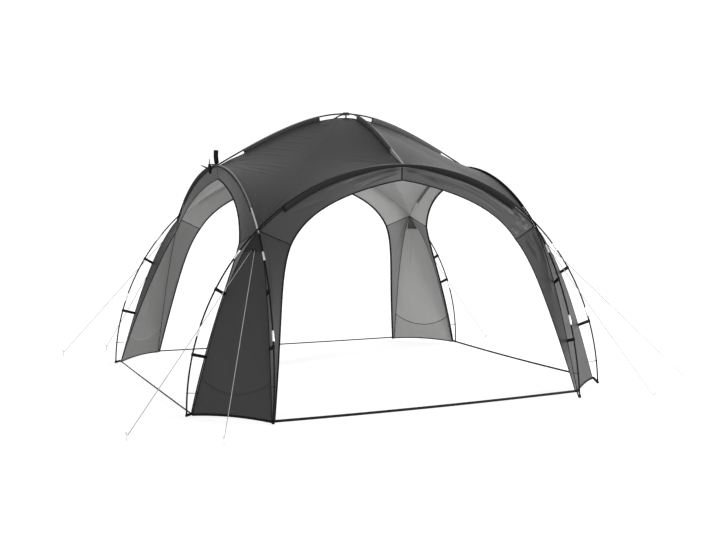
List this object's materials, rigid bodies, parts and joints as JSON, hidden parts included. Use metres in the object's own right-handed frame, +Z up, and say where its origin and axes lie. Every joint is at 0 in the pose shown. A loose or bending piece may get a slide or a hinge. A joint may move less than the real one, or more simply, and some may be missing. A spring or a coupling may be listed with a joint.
{
  "type": "dome event shelter gazebo",
  "caption": "Square open dome shelter: crossing bent poles carry a dark grey cloth canopy with an arched doorway in each side, guy lines, pegs and ground straps.",
  "frame": {"origin": "on the ground under the crown hub, at the centre of the four corners", "axes": "+Z up; -Y is the front side, -X the left side; the doorways face along X and Y"},
  "size_m": [4.7774, 4.5582, 2.331],
  "materials": {
    "canopy": "dark grey coated polyester, matt with a faint sheen",
    "pole": "black coated pole sections with bare silver ferrules",
    "hub": "black moulded plastic",
    "webbing": "black woven webbing and binding",
    "rope": "thin light grey braided cord",
    "peg": "bright steel wire"
  },
  "bodies": {
    "root": {"arch_pole_front": "pole", "arch_pole_right": "pole", "arch_pole_back": "pole", "arch_pole_left": "pole", "roof_pole_front": "pole", "roof_pole_right": "pole", "roof_pole_back": "pole", "roof_pole_left": "pole", "crown_hub": "hub", "roof_panel_front_left": "canopy", "roof_panel_front_right": "canopy", "roof_panel_back_right": "canopy", "roof_panel_back_left": "canopy", "valance_front": "canopy", "valance_right": "canopy", "valance_back": "canopy", "valance_left": "canopy", "wing_front_left_front": "canopy", "wing_front_left_left": "canopy", "wing_front_right_front": "canopy", "wing_front_right_right": "canopy", "wing_back_right_right": "canopy", "wing_back_right_back": "canopy", "wing_back_left_back": "canopy", "wing_back_left_left": "canopy", "corner_panel_front_left": "canopy", "corner_panel_front_right": "canopy", "corner_panel_back_right": "canopy", "corner_panel_back_left": "canopy", "corner_patch_front_left": "webbing", "corner_patch_front_right": "webbing", "corner_patch_back_right": "webbing", "corner_patch_back_left": "webbing", "guy_lines_front_left": "rope", "guy_lines_front_right": "rope", "guy_lines_back_right": "rope", "guy_lines_back_left": "rope", "peg_front_left_1": "peg", "peg_front_left_2": "peg", "peg_front_right_1": "peg", "peg_front_right_2": "peg", "peg_back_right_1": "peg", "peg_back_right_2": "peg", "peg_back_left_1": "peg", "peg_back_left_2": "peg", "ground_strap_front": "webbing", "ground_strap_right": "webbing", "ground_strap_back": "webbing", "ground_strap_left": "webbing", "apex_tab_left": "webbing"}
  },
  "joints": []
}
